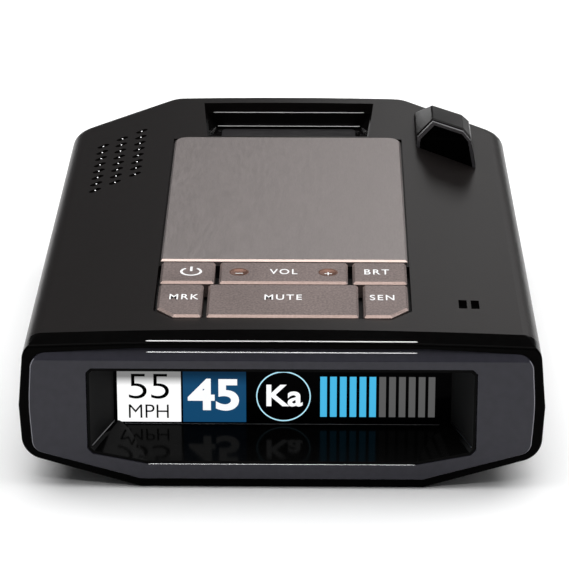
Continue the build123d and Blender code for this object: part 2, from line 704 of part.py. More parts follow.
def rf_module():
    """The shielded microwave receiver in front of the horn."""
    can = one(box(-4, 14, 60, 76, 6.0, 15.6))
    return can.fillet(0.8, upright_edges(can))


def laser_barrel():
    """The tube that holds the forward laser lens."""
    return one(rod_y(-14.5, 11.6, 4.9, 110.4, 115.6) - rod_y(-14.5, 11.6, 4.3, 110, 117))


def laser_board():
    """The laser sensor and its board, behind the barrel."""
    return box(-20.0, -9.2, 109.4, 110.4, 7.0, 16.4) + box(-16, -13, 110.4, 111.2, 10.1, 13.1)


def laser_lens():
    """A plano-convex lens."""
    r, bulge = 4.25, 1.2
    ball = (r ** 2 + bulge ** 2) / (2 * bulge)
    disc = rod_y(-14.5, 11.6, r, 112.6, 115.2)
    return one(disc & (Pos(-14.5, y(115.2 - ball), 11.6) * Sphere(ball)))


# ---------------------------------------------------------------- ports
def power_jack():
    """A modular power socket: a body with a keyed cavity."""
    body = box(-JACK_FACE, -28, 54.6, 65.4, BOARD_Z1, 17.8)
    cavity = box(-JACK_FACE - 1, -30, 56.6, 63.4, 9.4, 15.4)
    key_way = box(-JACK_FACE - 1, -32, 58.5, 61.5, 15, 16.8)
    return one(body - cavity - key_way)


def usb_port():
    """A small USB service port."""
    shell = box(-JACK_FACE, -34.6, 42.0, 50.0, BOARD_Z1, 11.0)
    cavity = box(-JACK_FACE - 1, -35.2, 42.5, 49.5, 8.3, 10.5)
    tongue = box(-39.6, -35.1, 43.6, 48.4, 9.1, 9.6)
    return one(shell - cavity + tongue)


def audio_jack():
    """A 3.5 mm headphone socket."""
    body = box(-37.4, -27.4, 29.8, 36.2, BOARD_Z1, 14.7) + rod_x(33, 11.2, 3.4, -JACK_FACE, -37)
    return one(body - rod_x(33, 11.2, 1.8, -JACK_FACE - 1, -28.3))


# ---------------------------------------------------------------- electronics
def main_board():
    """The main circuit board, screwed to four posts."""
    board = box(-30.4, 30.4, 17.0, 59.5, BOARD_Z0, BOARD_Z1)
    for x, d in board_posts():
        board -= rod_z(x, d, 1.1, 0, 20)
    return one(board)


def chips():
    """The larger chips on the main board."""
    places = [(6, 34, 12, 12, 1.4), (-10, 46, 9, 9, 1.2), (18, 44, 6, 10, 1.8), (-8, 30, 5, 6, 1.6)]
    return [
        box(x - wide / 2, x + wide / 2, d - long / 2, d + long / 2, BOARD_Z1, BOARD_Z1 + high)
        for x, d, wide, long, high in places
    ]


def wireless_module():
    """The short-range wireless module, a small board with a shield can."""
    carrier = box(8, 24, 50.2, 58.6, BOARD_Z1, BOARD_Z1 + 0.8)
    return one(carrier + box(9, 19, 50.9, 57.9, BOARD_Z1 + 0.7, BOARD_Z1 + 2.6))


def board_screw(x, d):
    """A small pan-head screw."""
    head = rod_z(x, d, 1.8, BOARD_Z1, BOARD_Z1 + 1.2)
    slot = box(x - 1.5, x + 1.5, d - 0.2, d + 0.2, BOARD_Z1 + 0.7, BOARD_Z1 + 2)
    return one(head + rod_z(x, d, 0.85, BOARD_Z0 - 2.5, BOARD_Z1 + 0.1) - slot)


def case_screw(x, d):
    """A case screw, driven up from below."""
    head = rod_z(x, d, 2.2, SCREW_SEAT_Z - 1.8, SCREW_SEAT_Z)
    recess = Pos(x, y(d), SCREW_SEAT_Z - 2) * extrude(RegularPolygon(1.1, 6), amount=1.0)
    return one(head + rod_z(x, d, 1.2, SCREW_SEAT_Z - 0.1, 19.5) - recess)


def speaker():
    """An oval alert speaker: basket with a raised rim, and its cone."""
    x, d = -30.6, 82.5
    basket = Pos(x, y(d), 17.6) * extrude(RectangleRounded(13.0, 26.0, 3.0), amount=5.0)
    hollow = Pos(x, y(d), 20.6) * extrude(RectangleRounded(11.0, 24.0, 2.4), amount=5.0)
    magnet = Pos(x, y(d), 15.2) * extrude(RectangleRounded(9.0, 16.0, 2.0), amount=2.5)
    cone = Pos(x, y(d), 20.5) * extrude(RectangleRounded(8.0, 18.0, 2.0), amount=1.0, taper=20)
    return one(basket - hollow + magnet + cone)


def speaker_mesh():
    """The dust mesh between the speaker and the slots."""
    return one(Pos(-30.6, y(82.5), 22.6) * extrude(RectangleRounded(13.0, 30.0, 3.0), amount=0.4))


def gps_antenna():
    """A ceramic patch antenna under the top plate."""
    patch = box(-9, 9, 60, 78, 20.4, ROOF_UNDER)
    ground = box(-10.5, 10.5, 58.5, 79.5, 19.6, 20.4)
    return one(patch + ground)


def light_sensors():
    """A small board with a light sensor under each light guide."""
    parts = box(28.6, 33.2, 12.8, 18.4, 18.8, 19.5)
    for x in GUIDE_XS:
        parts += box(x - 0.45, x + 0.45, SLOT_D - 1.0, SLOT_D + 1.0, 19.4, 20.4)
    return one(parts)


# ---------------------------------------------------------------- assembly
def build():
    """Every sub-part, by node name."""
    upper, lower = upper_form(), lower_form()
    keys = key_outlines()
    parts = {
        "top_cover": top_cover(upper),
        "bottom_cover": bottom_cover(lower),
        "front_ring": front_ring(upper, lower),
        "front_bezel": front_bezel(),
        "display_shroud": display_shroud(),
        "display_window": box(-28.4, 28.4, SCREEN_D, SCREEN_D + 1.0, 4.9, 19.5),
        "display_panel": box(-28.0, 28.0, SCREEN_D + 1.0, SCREEN_D + 3.4, 5.1, 19.3),
        "display_board": box(-27.6, 27.6, SCREEN_D + 3.4, SCREEN_D + 4.4, 7.9, 19.2),
        "display_cable": display_cable(),
        "top_plate": top_plate(),
        "key_guide": key_guide(keys),
        "key_board": box(-22.4, 22.4, 8.6, 32.2, KEYBOARD_Z0, KEYBOARD_Z1),
        "rocker_pin": rod_y(0, ROCKER_AXIS_Z, ROCKER_PIN_R, 23.6, 31.1),
        "mount_cradle": mount_cradle(),
        "strike_plate": strike_plate(),
        "mount_magnets": [rod_z(x, 104, 4.0, 17.5, POCKET_FLOOR - 1.2) for x in (-8.2, 8.2)],
        "rear_window": (upper + lower) & window_block(0),
        "horn_antenna": horn_antenna(),
        "rf_module": rf_module(),
        "laser_barrel": laser_barrel(),
        "laser_lens": laser_lens(),
        "laser_board": laser_board(),
        "pod_housing": pod_outer() - pod_hollow(),
        "pod_lip": pod_lip(),
        "pod_window": pod_window(),
        "pod_sensor": pod_sensor(),
        "speaker": speaker(),
        "speaker_mesh": speaker_mesh(),
        "light_guides": [one(guide) for guide in sensor_slots(0, 20.6, 24.3)],
        "light_sensors": light_sensors(),
        "gps_antenna": gps_antenna(),
        "main_board": main_board(),
        "chips": chips(),
        "wireless_module": wireless_module(),
        "power_jack": power_jack(),
        "usb_port": usb_port(),
        "audio_jack": audio_jack(),
        "board_screws": [board_screw(x, d) for x, d in board_posts()],
        "case_screws": [case_screw(x, d) for x, d in boss_places()],
        "rating_label": box(-16.8, 16.8, 40.2, 71.8, REST_Z + 0.1, REST_Z + 0.3),
    }
    for name, points in keys.items():
        x, d = key_middle(points)
        if name == "volume":
            parts["key_volume"] = volume_key(points)
            parts["dome_volume"] = [dome(side * ROCKER_X, d) for side in (-1, 1)]
            continue
        parts["key_" + name] = push_key(points)
        parts["dome_" + name] = dome(x, d)
    return parts


os.makedirs("parts", exist_ok=True)
lift = Pos(0, 0, -REST_Z)
for node, shape in build().items():
    if isinstance(shape, list):
        shape = Compound(children=[one(lift * piece) for piece in shape])
    else:
        shape = lift * shape
    export_step(shape, "parts/" + node + ".step")
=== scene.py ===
import json
import math

import bmesh
import bpy
from mathutils import Matrix, Vector


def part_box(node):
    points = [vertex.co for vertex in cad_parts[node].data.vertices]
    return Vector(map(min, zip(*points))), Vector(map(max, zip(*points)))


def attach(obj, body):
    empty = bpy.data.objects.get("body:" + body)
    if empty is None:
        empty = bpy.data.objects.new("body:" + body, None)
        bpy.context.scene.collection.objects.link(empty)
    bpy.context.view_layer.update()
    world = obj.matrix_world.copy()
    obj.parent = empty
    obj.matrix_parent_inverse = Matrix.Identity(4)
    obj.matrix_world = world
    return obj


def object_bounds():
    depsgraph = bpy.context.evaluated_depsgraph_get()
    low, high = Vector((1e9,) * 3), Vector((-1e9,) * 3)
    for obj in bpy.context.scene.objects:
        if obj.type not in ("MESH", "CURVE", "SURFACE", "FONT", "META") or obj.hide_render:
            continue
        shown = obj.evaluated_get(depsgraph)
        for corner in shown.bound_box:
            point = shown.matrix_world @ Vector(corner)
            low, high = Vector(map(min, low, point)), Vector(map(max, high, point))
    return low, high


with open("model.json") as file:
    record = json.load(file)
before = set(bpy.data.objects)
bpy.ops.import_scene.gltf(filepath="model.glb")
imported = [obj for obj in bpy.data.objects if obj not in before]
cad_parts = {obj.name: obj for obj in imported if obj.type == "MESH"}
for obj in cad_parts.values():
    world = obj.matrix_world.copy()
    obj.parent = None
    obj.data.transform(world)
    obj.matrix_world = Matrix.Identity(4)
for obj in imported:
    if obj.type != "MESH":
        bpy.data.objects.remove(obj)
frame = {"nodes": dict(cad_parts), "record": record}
cad_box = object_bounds()

MM = 0.001
FLAT = Matrix.Identity(4)                            # lies on a top face, read from the display end
UPRIGHT = Matrix.Rotation(math.pi / 2, 4, "X")       # stands in the display, read from the front


# ---------------------------------------------------------------- camera, lights and floor
ELEVATION = math.radians(22.5)
TURN = math.radians(0.65)              # the camera stands a little to the right of the axis
PARTING_IN, PARTING_Z = 0.7 * MM, 14.25 * MM    # where the camera aims, on the display end
DISTANCE = 0.5012                      # from the camera to that point
AIM_RIGHT, AIM_UP = 0.00045, 0.01956   # the frame's middle, seen from that point
LENS, SENSOR = 198.57, 36.0

WORLD_COLOR, WORLD_STRENGTH = (0.96, 0.98, 1.0, 1), 0.11
LIGHTS = (   # name, place, the place it faces, width and height, watts
    ("overhead", (0, 0.12, 0.75), (0, 0, 0), (1.7, 1.0), 13.8),
    ("right_panel", (0.34, 0.22, 0.22), (0.02, 0.02, 0.02), (0.3, 0.34), 0.35),
    ("back_panel", (0.34, 0.95, 0.42), (0.03, 0, 0.02), (0.7, 0.26), 0.62),
    ("front_strip", (0, -0.55, 0.75), (0, -0.06, 0.02), (0.5, 0.06), 0.9),
)
FLOOR_HALF = 4.0


def link(data, name):
    """A new object in the scene."""
    piece = bpy.data.objects.new(name, data)
    bpy.context.scene.collection.objects.link(piece)
    return piece


def place_camera():
    """The camera looks slightly down on the display end, with a long lens."""
    target = Vector((0, cad_box[0][1] + PARTING_IN, PARTING_Z))
    tilt = Matrix.Rotation(math.pi / 2 - ELEVATION, 3, "X")
    turn = Matrix.Rotation(TURN, 3, "Z") @ tilt
    right, up, back = turn.col[0], turn.col[1], turn.col[2]
    camera = link(bpy.data.cameras.new("camera"), "camera")
    camera.data.lens = LENS
    camera.data.sensor_width = SENSOR
    camera.data.clip_start = 0.01
    camera.location = target + right * AIM_RIGHT + up * AIM_UP + back * DISTANCE
    camera.rotation_euler = turn.to_euler()
    bpy.context.scene.camera = camera


def area_light(name, at, look_at, size, power):
    """A rectangular soft light that points at a place."""
    data = bpy.data.lights.new(name, "AREA")
    data.shape = "RECTANGLE"
    data.size, data.size_y = size
    data.energy = power
    lamp = link(data, name)
    lamp.location = at
    lamp.rotation_euler = (Vector(at) - Vector(look_at)).to_track_quat("Z", "Y").to_euler()


def studio():
    """A dim room, a large soft light overhead, panels behind and to the right, and a pale floor."""
    world = bpy.data.worlds.new("studio")
    bpy.context.scene.world = world
    world.use_nodes = True
    background = world.node_tree.nodes["Background"]
    background.inputs["Color"].default_value = WORLD_COLOR
    background.inputs["Strength"].default_value = WORLD_STRENGTH
    for light in LIGHTS:
        area_light(*light)
    mesh = bpy.data.meshes.new("floor")
    corners = [(x * FLOOR_HALF, y * FLOOR_HALF, 0) for x, y in ((-1, -1), (1, -1), (1, 1), (-1, 1))]
    mesh.from_pydata(corners, [], [(0, 1, 2, 3)])
    floor = link(mesh, "floor")
    material, _ = new_material("floor", (0.96, 0.96, 0.96), 0.9)
    floor.data.materials.append(material)
    bpy.context.scene.view_settings.view_transform = "Standard"


# ---------------------------------------------------------------- material nodes
MIX_A, MIX_B, MIX_RESULT = 6, 7, 2    # the colour sockets of a Mix node
WAVE_BAND = 0.31                      # width of one band of a wave texture at a scale of 1


def new_material(name, color, roughness, metallic=0.0, **extra):
    """A material with one principled shader. Extra values go on the shader's own sockets."""
    material = bpy.data.materials.new(name)
    material.use_nodes = True
    shader = material.node_tree.nodes["Principled BSDF"]
    shader.inputs["Base Color"].default_value = (*color, 1)
    shader.inputs["Roughness"].default_value = roughness
    shader.inputs["Metallic"].default_value = metallic
    for socket, value in extra.items():
        shader.inputs[socket.replace("_", " ")].default_value = value
    return material, shader


def split_coordinates(tree, output):
    """The X, Y and Z outputs of the object's coordinates or of its normal."""
    coords = tree.nodes.new("ShaderNodeTexCoord")
    split = tree.nodes.new("ShaderNodeSeparateXYZ")
    tree.links.new(coords.outputs[output], split.inputs["Vector"])
    return split.outputs


def calculate(tree, operation, *values):
    """A math node's output. Each value is a number or another node's output."""
    node = tree.nodes.new("ShaderNodeMath")
    node.operation = operation
    for socket, value in zip(node.inputs, values):
        if isinstance(value, (int, float)):
            socket.default_value = value
        else:
            tree.links.new(value, socket)
    return node.outputs["Value"]


def noise(tree, scale, detail=2.0, stretch=(1, 1, 1)):
    """Noise in the object's own coordinates, in cells per metre."""
    coords = tree.nodes.new("ShaderNodeTexCoord")
    mapping = tree.nodes.new("ShaderNodeMapping")
    mapping.inputs["Scale"].default_value = stretch
    texture = tree.nodes.new("ShaderNodeTexNoise")
    texture.inputs["Scale"].default_value = scale
    texture.inputs["Detail"].default_value = detail
    tree.links.new(coords.outputs["Object"], mapping.inputs["Vector"])
    tree.links.new(mapping.outputs["Vector"], texture.inputs["Vector"])
    return texture.outputs["Fac"]


def spread(tree, value, low, high, from_low=0.35, from_high=0.65):
    """Maps a value to a range. The input range suits a noise output."""
    node = tree.nodes.new("ShaderNodeMapRange")
    node.inputs["From Min"].default_value = from_low
    node.inputs["From Max"].default_value = from_high
    node.inputs["To Min"].default_value = low
    node.inputs["To Max"].default_value = high
    tree.links.new(value, node.inputs["Value"])
    return node.outputs["Result"]


def tint(tree, value, color, dark, light, lift=0.0):
    """Maps a value from 0 to 1 to a tone between a darker and a lighter one of a colour."""
    ramp = tree.nodes.new("ShaderNodeValToRGB")
    ramp.color_ramp.elements[0].color = (*(c * dark for c in color), 1)
    ramp.color_ramp.elements[1].color = (*(min(1, c * light + lift) for c in color), 1)
    tree.links.new(value, ramp.inputs["Fac"])
    return ramp.outputs["Color"]


def add_bump(tree, shader, height, distance):
    """Adds a bump from a height output."""
    bump = tree.nodes.new("ShaderNodeBump")
    bump.inputs["Distance"].default_value = distance
    bump.inputs["Strength"].default_value = 1.0
    tree.links.new(height, bump.inputs["Height"])
    tree.links.new(bump.outputs["Normal"], shader.inputs["Normal"])


def paint_over(material, factor, color):
    """Mixes a second colour over a material's own."""
    tree = material.node_tree
    base = tree.nodes["Principled BSDF"].inputs["Base Color"]
    mix = tree.nodes.new("ShaderNodeMix")
    mix.data_type = "RGBA"
    tree.links.new(factor, mix.inputs["Factor"])
    tree.links.new(base.links[0].from_socket, mix.inputs[MIX_A])
    mix.inputs[MIX_B].default_value = (*color, 1)
    tree.links.new(mix.outputs[MIX_RESULT], base)


def vary_roughness(material, factor, low, high):
    """Makes the roughness go from low to high as a value goes from 0 to 1."""
    tree = material.node_tree
    socket = tree.nodes["Principled BSDF"].inputs["Roughness"]
    tree.links.new(spread(tree, factor, low, high, 0.0, 1.0), socket)


# ---------------------------------------------------------------- kinds of material
SMUDGES, TONES, PATCHES = 45, 700, 60    # noise cells per metre


def moulded(name, color, roughness, grain=2600, depth=0.02, vary=0.05, **extra):
    """Moulded plastic: fine grain, with slight change in gloss and colour."""
    material, shader = new_material(name, color, roughness, **extra)
    tree = material.node_tree
    smudge = spread(tree, noise(tree, SMUDGES, 3), roughness - vary, roughness + vary)
    tree.links.new(smudge, shader.inputs["Roughness"])
    tone = tint(tree, noise(tree, TONES, 4), color, 0.85, 1.25, 0.001)
    tree.links.new(tone, shader.inputs["Base Color"])
    add_bump(tree, shader, noise(tree, grain, 3), depth * MM)
    return material


def glossy(name, color, roughness, **extra):
    """Plastic moulded against a polished surface."""
    return moulded(name, color, roughness, grain=300, depth=0.001, vary=0.02, **extra)


def brushed(name, color, roughness, across=7000, along=900, depth=0.006, axis=1, metallic=0.85):
    """Metal with fine straight brushing along one axis."""
    material, shader = new_material(name, color, roughness, metallic)
    tree = material.node_tree
    stretch = [across] * 3
    stretch[axis] = along
    fine = noise(tree, 1.0, 3, stretch)
    coarse = noise(tree, 0.35, 2, stretch)
    tone = tint(tree, spread(tree, fine, 0, 1), color, 0.95, 1.05)
    tree.links.new(tone, shader.inputs["Base Color"])
    streaks = spread(tree, coarse, roughness - 0.02, roughness + 0.03)
    tree.links.new(streaks, shader.inputs["Roughness"])
    add_bump(tree, shader, fine, depth * MM)
    return material


def blasted(name, color, roughness, grain=5200, depth=0.02, metallic=0.7):
    """Metal-look paint with a fine blasted grain."""
    material, shader = new_material(name, color, roughness, metallic)
    tree = material.node_tree
    speck = noise(tree, grain, 2)
    tone = tint(tree, spread(tree, speck, 0, 1, 0.3, 0.7), color, 0.72, 1.28)
    tree.links.new(tone, shader.inputs["Base Color"])
    patches = spread(tree, noise(tree, PATCHES, 2), roughness - 0.05, roughness + 0.05)
    tree.links.new(patches, shader.inputs["Roughness"])
    add_bump(tree, shader, speck, depth * MM)
    return material


def woven(name, color, cell=0.35):
    """A fine dust mesh, with its cell in millimetres."""
    material, shader = new_material(name, color, 0.45, 0.6)
    tree = material.node_tree
    coords = tree.nodes.new("ShaderNodeTexCoord")
    heights = []
    for axis in ("X", "Y"):
        wave = tree.nodes.new("ShaderNodeTexWave")
        wave.bands_direction = axis
        wave.inputs["Scale"].default_value = WAVE_BAND / (cell * MM)
        tree.links.new(coords.outputs["Object"], wave.inputs["Vector"])
        heights.append(wave.outputs["Fac"])
    weave = calculate(tree, "MULTIPLY", *heights)
    tree.links.new(tint(tree, weave, color, 1, 6), shader.inputs["Base Color"])
    add_bump(tree, shader, weave, 0.08 * MM)
    return material


def glowing(name, color, fade=None):
    """A lit part of the display, behind gloss. Its light may fade from one height to another:
    painted shade.
    """
    material, shader = new_material(name, tuple(c * 0.1 for c in color), 0.12, IOR=1.08)
    shader.inputs["Emission Color"].default_value = (*color, 1)
    shader.inputs["Emission Strength"].default_value = 1.0
    if fade:
        start, end, least = fade
        tree = material.node_tree
        light = spread(tree, split_coordinates(tree, "Object")["Z"], 1.0, least, start, end)
        tree.links.new(light, shader.inputs["Emission Strength"])
    return material


def painted_bevel_highlight(material, amount, color=(0.80, 0.62, 0.55)):
    """Paints a brighter coppery highlight on bevels that face the display end or the rear."""
    tree = material.node_tree
    normal = split_coordinates(tree, "Normal")
    lean = spread(tree, calculate(tree, "ABSOLUTE", normal["Y"]), 0.0, amount, 0.35, 0.6)
    upward = calculate(tree, "GREATER_THAN", normal["Z"], 0.2)
    paint_over(material, calculate(tree, "MULTIPLY", lean, upward), color)
    return material


def painted_seam_shade(material):
    """Paints a dark, matt line where the two covers meet: painted shade in the gap between them."""
    tree = material.node_tree
    seam_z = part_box("bottom_cover")[1].z
    height = split_coordinates(tree, "Object")["Z"]
    near = calculate(tree, "COMPARE", height, seam_z, 0.08 * MM)
    paint_over(material, near, (0.0004, 0.0004, 0.0004))
    vary_roughness(material, near, 0.32, 0.8)
    return material


def matt_sides_painted_lighter(material):
    """Makes the walls that face left and right matt, and lighter with painted light."""
    tree = material.node_tree
    across = calculate(tree, "ABSOLUTE", split_coordinates(tree, "Normal")["X"])
    side = spread(tree, across, 0.0, 1.0, 0.4, 0.7)
    paint_over(material, side, (0.020, 0.020, 0.020))
    vary_roughness(material, side, 0.11, 0.7)
    return material


def painted_rim_highlight(material):
    """Paints a brighter line, a painted highlight, on the rounded outer edge at the left and right.
    """
    tree = material.node_tree
    place, normal = split_coordinates(tree, "Object"), split_coordinates(tree, "Normal")
    outward = calculate(tree, "MULTIPLY", calculate(tree, "SIGN", place["X"]), normal["X"])
    forward = calculate(tree, "LESS_THAN", normal["Y"], -0.3)
    lean = calculate(tree, "MULTIPLY", spread(tree, outward, 0.0, 1.0, 0.35, 0.6), forward)
    paint_over(material, lean, (0.24, 0.24, 0.27))
    return material


def build_materials():
    """Every material by the record's slot."""
    cover = moulded("cover_plastic", (0.0058, 0.0048, 0.0046), 0.32, grain=3200, depth=0.010,
                    IOR=1.25, Specular_Tint=(1.0, 0.9, 0.88, 1))
    bezel = moulded("bezel_gloss", (0.026, 0.0255, 0.034), 0.16, grain=400, depth=0.002,
                    vary=0.03, IOR=1.32)
    shroud = moulded("shroud_gloss", (0.003, 0.003, 0.003), 0.11, grain=400, depth=0.001,
                     vary=0.02, IOR=1.075)
    key = blasted("key_blasted", (0.225, 0.178, 0.167), 0.42, grain=2700)
    return {
        # the cover's seam line is painted shade
        "cover": painted_seam_shade(cover),
        "ring": moulded("ring_gloss", (0.0008, 0.0007, 0.0007), 0.12, grain=500, depth=0.002,
                        vary=0.03, IOR=1.07),
        # the bezel's outer rim gets a painted highlight
        "bezel": painted_rim_highlight(bezel),
        # the shroud's side walls are painted lighter: painted light
        "shroud": matt_sides_painted_lighter(shroud),
        "window": glossy("window_gloss", (0.0008, 0.0008, 0.001), 0.06, IOR=1.05),
        "screen": glossy("screen_off", (0.002, 0.002, 0.003), 0.15),
        # the plate and the keys get a painted highlight on their bevels
        "plate": painted_bevel_highlight(brushed("plate_brushed", (0.31, 0.275, 0.268), 0.40), 0.75),
        "key": painted_bevel_highlight(key, 0.45, (0.60, 0.43, 0.37)),
        "black_plastic": moulded("inner_plastic", (0.006, 0.006, 0.006), 0.5),
        "cradle": moulded("cradle_gloss", (0.0015, 0.0012, 0.0012), 0.2, grain=1500, IOR=1.3),
        "steel": brushed("steel_brushed", (0.13, 0.125, 0.13), 0.35, axis=0, metallic=1.0),
        "magnet": brushed("magnet_nickel", (0.6, 0.6, 0.62), 0.2, metallic=1.0),
        "ir_window": glossy("ir_window", (0.006, 0.002, 0.003), 0.08),
        "pod_window": glossy("pod_window_gloss", (0.0002, 0.0002, 0.0002), 0.05, IOR=1.04),
        "die_cast": blasted("die_cast", (0.6, 0.6, 0.6), 0.45, grain=2500, metallic=1.0),
        "lens": glossy("lens_glass", (0.7, 0.72, 0.75), 0.05, Transmission_Weight=0.9),
        "board": moulded("solder_mask", (0.008, 0.06, 0.025), 0.35, grain=900, depth=0.03),
        "chip": moulded("chip_epoxy", (0.01, 0.01, 0.01), 0.55, grain=4000),
        "shield": brushed("tinned_sheet", (0.6, 0.6, 0.58), 0.3, metallic=1.0),
        "mesh": woven("dust_mesh", (0.012, 0.012, 0.012)),
        "speaker": moulded("speaker_parts", (0.02, 0.02, 0.02), 0.5),
        "light_guide": moulded("light_guide", (0.001, 0.001, 0.001), 0.12, grain=400,
                               depth=0.002, vary=0.02, IOR=1.1),
        "ceramic": moulded("ceramic", (0.55, 0.5, 0.4), 0.6, grain=3000),
        "flex": moulded("polyimide", (0.35, 0.14, 0.02), 0.3, grain=600, depth=0.01),
        "contact": moulded("connector_plastic", (0.006, 0.006, 0.006), 0.3, grain=1500,
                           depth=0.01),
        "screw": brushed("screw_steel", (0.05, 0.05, 0.052), 0.35, metallic=1.0),
        "label": moulded("label_film", (0.28, 0.28, 0.28), 0.4, grain=2000, depth=0.005),
    }


def dress_nodes():
    """Gives every CAD node its slot's material. Two pieces of the pod have one of their own."""
    made = build_materials()
    slots = {part["node"]: part["material_slot"] for part in frame["record"]["subparts"]}
    for node, piece in frame["nodes"].items():
        piece.data.materials.clear()
        piece.data.materials.append(made[slots[node]])
    lip = moulded("pod_lip_gloss", (0.05, 0.048, 0.052), 0.25, grain=400, depth=0.002)
    hood = moulded("pod_hood_plastic", (0.0040, 0.0034, 0.0033), 0.34, grain=3200, depth=0.010,
                   IOR=1.20)
    frame["nodes"]["pod_lip"].data.materials[0] = lip
    frame["nodes"]["pod_housing"].data.materials[0] = hood


# ---------------------------------------------------------------- pieces made here
CAPITAL = 0.69                 # height of a capital in the built-in font, at a size of 1
RAISED = 0.015 * MM            # half the thickness of lettering
THIN = 0.03 * MM               # thickness of tiles, rings and marks
BEAD_TAPER = ((0, 0.15), (2, 0.75), (5, 1.0))    # distance from the end, share of the radius
BEAD_SIDES = 12
RING_STEPS = 64


def finish_piece(piece, body):
    """Attaches a piece to the body that it moves with."""
    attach(piece, body)
    return piece


def mesh_piece(name, made, place, material, body, smooth=False):
    """A piece from a bmesh, which is put in its place in the mesh itself."""
    mesh = bpy.data.meshes.new(name)
    made.to_mesh(mesh)
    made.free()
    mesh.transform(place)
    mesh.polygons.foreach_set("use_smooth", [smooth] * len(mesh.polygons))
    mesh.materials.append(material)
    return finish_piece(link(mesh, name), body)


def to_mesh(piece):
    """Turns a text object into a mesh object of the same name and place."""
    bpy.context.view_layer.update()
    evaluated = piece.evaluated_get(bpy.context.evaluated_depsgraph_get())
    mesh = bpy.data.meshes.new_from_object(evaluated)
    mesh.transform(piece.matrix_world)
    name, data = piece.name, piece.data
    bpy.data.objects.remove(piece)
    bpy.data.curves.remove(data)
    mesh.name = name
    return link(mesh, name)


def lettering(name, words, height, at, turn, material, body, weight, width=1.0, spacing=1.0):
    """Flat raised lettering, centred on a place and turned to lie on a surface."""
    curve = bpy.data.curves.new(name, "FONT")
    curve.body = words
    curve.align_x, curve.align_y = "CENTER", "CENTER"
    curve.size = height / CAPITAL
    curve.space_character = spacing
    curve.offset = weight * curve.size
    curve.extrude = RAISED
    curve.materials.append(material)
    piece = link(curve, name)
    piece.matrix_world = Matrix.Translation(at) @ turn @ Matrix.Diagonal((width, 1, 1, 1))
    return finish_piece(to_mesh(piece), body)


def plate_piece(name, outline, thick, at, turn, material, body):
    """A thin plate from a flat outline, its back on a place."""
    made = bmesh.new()
    low = [made.verts.new((a, b, 0)) for a, b in outline]
    high = [made.verts.new((a, b, thick)) for a, b in outline]
    made.faces.new(list(reversed(low)))
    made.faces.new(high)
    for i in range(len(low)):
        j = (i + 1) % len(low)
        made.faces.new((low[i], low[j], high[j], high[i]))
    return mesh_piece(name, made, Matrix.Translation(at) @ turn, material, body)


def ring_piece(name, radius, width, start, end, at, turn, material, body):
    """A flat ring or part of one, between two angles in degrees."""
    closed = end - start >= 360
    inner, outer = radius - width / 2, radius + width / 2
    made = bmesh.new()
    rows = []
    for step in range(RING_STEPS if closed else RING_STEPS + 1):
        angle = math.radians(start + (end - start) * step / RING_STEPS)
        c, s = math.cos(angle), math.sin(angle)
        rows.append([made.verts.new((r * c, r * s, z)) for r, z in
                     ((inner, 0), (outer, 0), (outer, THIN), (inner, THIN))])
    for i in range(RING_STEPS):
        a, b = rows[i], rows[(i + 1) % len(rows)]
        for k in range(4):
            made.faces.new((a[k], a[(k + 1) % 4], b[(k + 1) % 4], b[k]))
    if not closed:
        made.faces.new(list(reversed(rows[0])))
        made.faces.new(rows[-1])
    bmesh.ops.recalc_face_normals(made, faces=made.faces)
    return mesh_piece(name, made, Matrix.Translation(at) @ turn, material, body)


def bead(name, start, end, radius, material):
    """A thin round bead on the case between two points, with tapered ends."""
    half = (end - start).length / 2
    stations = [(-half + along * radius, share) for along, share in BEAD_TAPER]
    stations += [(half - along * radius, share) for along, share in reversed(BEAD_TAPER)]
    corners = [2 * math.pi * k / BEAD_SIDES for k in range(BEAD_SIDES)]
    made = bmesh.new()
    rows = []
    for x, share in stations:
        r = share * radius
        rows.append([made.verts.new((x, r * math.cos(a), r * math.sin(a))) for a in corners])
    for a, b in zip(rows, rows[1:]):
        for k in range(BEAD_SIDES):
            j = (k + 1) % BEAD_SIDES
            made.faces.new((a[k], a[j], b[j], b[k]))
    made.faces.new(rows[0])
    made.faces.new(rows[-1])
    bmesh.ops.recalc_face_normals(made, faces=made.faces)
    turn = (end - start).to_track_quat("X", "Z").to_matrix().to_4x4()
    place = Matrix.Translation((start + end) / 2) @ turn
    return mesh_piece(name, made, place, material, "case", smooth=True)


def key_legends(ink):
    """White legends on the keys."""
    lift, tall = 0.012 * MM, 2.15 * MM
    inward = 0.55 * MM       # the outer keys' legends stand towards the middle
    back = 0.9 * MM          # the front row's stand towards the rear
    for key, words, shift, rise in (("volume", "VOL", 0, 0), ("brightness", "BRT", -inward, 0),
                                    ("mark", "MRK", inward, back), ("mute", "MUTE", 0, back),
                                    ("sensitivity", "SEN", -inward, back)):
        low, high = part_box("key_" + key)
        at = Vector(((low.x + high.x) / 2 + shift, (low.y + high.y) / 2 + rise, high.z + lift))
        lettering("legend_" + key, words, tall, at, FLAT, ink, "key_" + key,
                  weight=0.008, width=0.69, spacing=1.22)
    low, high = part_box("key_power")
    at = Vector(((low.x + high.x) / 2 + inward, (low.y + high.y) / 2, high.z))
    radius, stroke, bar_top = 1.62 * MM, 0.4 * MM, 2.1 * MM
    gap = 35                 # degrees that the ring leaves open on each side of the bar
    half = stroke / 2
    ring_piece("legend_power_ring", radius, stroke, 90 + gap, 450 - gap, at, FLAT, ink,
               "key_power")
    bar = [(-half, half), (half, half), (half, bar_top), (-half, bar_top)]
    plate_piece("legend_power_bar", bar, THIN, at, FLAT, ink, "key_power")


